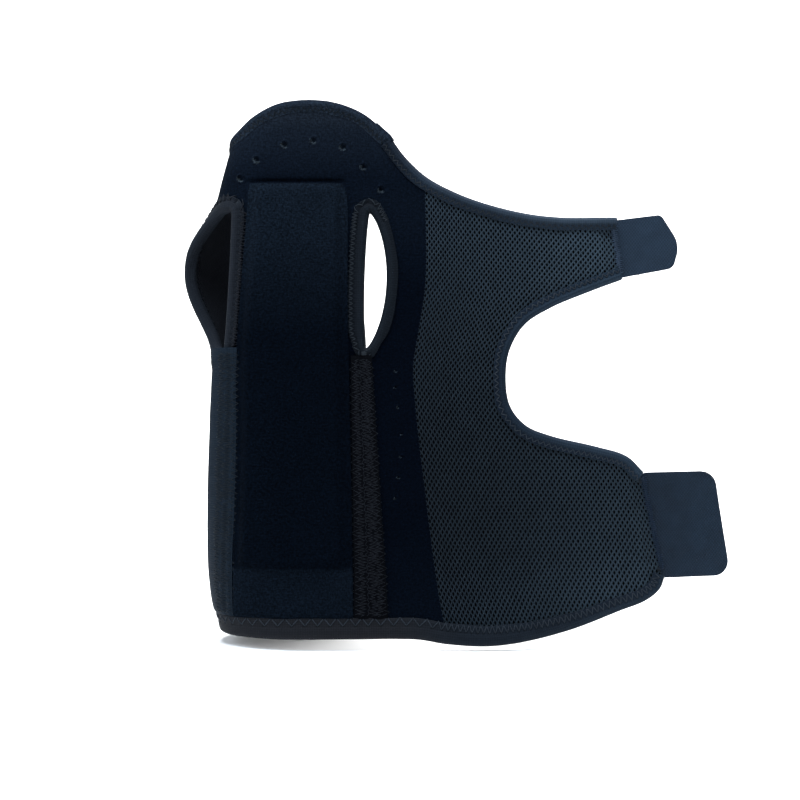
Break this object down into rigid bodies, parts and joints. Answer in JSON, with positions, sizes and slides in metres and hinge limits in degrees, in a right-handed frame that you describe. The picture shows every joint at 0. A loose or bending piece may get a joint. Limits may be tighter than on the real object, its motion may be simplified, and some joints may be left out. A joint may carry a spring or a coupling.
{
  "type": "wrist brace",
  "caption": "Velour-faced neoprene wrist brace in its worn form, with a palm splint pocket, bound thumb openings and an open mesh wing with hook tabs.",
  "frame": {"origin": "middle of the wrist hollow, where the wrist sits", "axes": "+Z along the arm towards the fingers, +X across the palm from the worn thumb opening towards the mesh wing, -Y out of the palm"},
  "size_m": [0.2617, 0.0728, 0.2528],
  "materials": {
    "velour": "matt loop velour on neoprene",
    "pocket_velour": "matt loop velour",
    "spacer_mesh": "knitted spacer mesh",
    "binding_tape": "soft folded tape with zigzag stitches",
    "hook_tape": "woven back of hook tape"
  },
  "bodies": {
    "root": {"body_panel": "velour", "mesh_wing": "spacer_mesh", "splint_pocket": "pocket_velour", "left_thumb_binding": "binding_tape", "right_thumb_binding": "binding_tape", "left_seam_tape": "binding_tape", "right_seam_tape": "binding_tape", "flap_binding": "binding_tape", "back_binding": "binding_tape", "hem_binding": "binding_tape", "wing_top_binding": "binding_tape", "notch_binding": "binding_tape", "upper_hook_tab": "hook_tape", "lower_hook_tab": "hook_tape"}
  },
  "joints": []
}
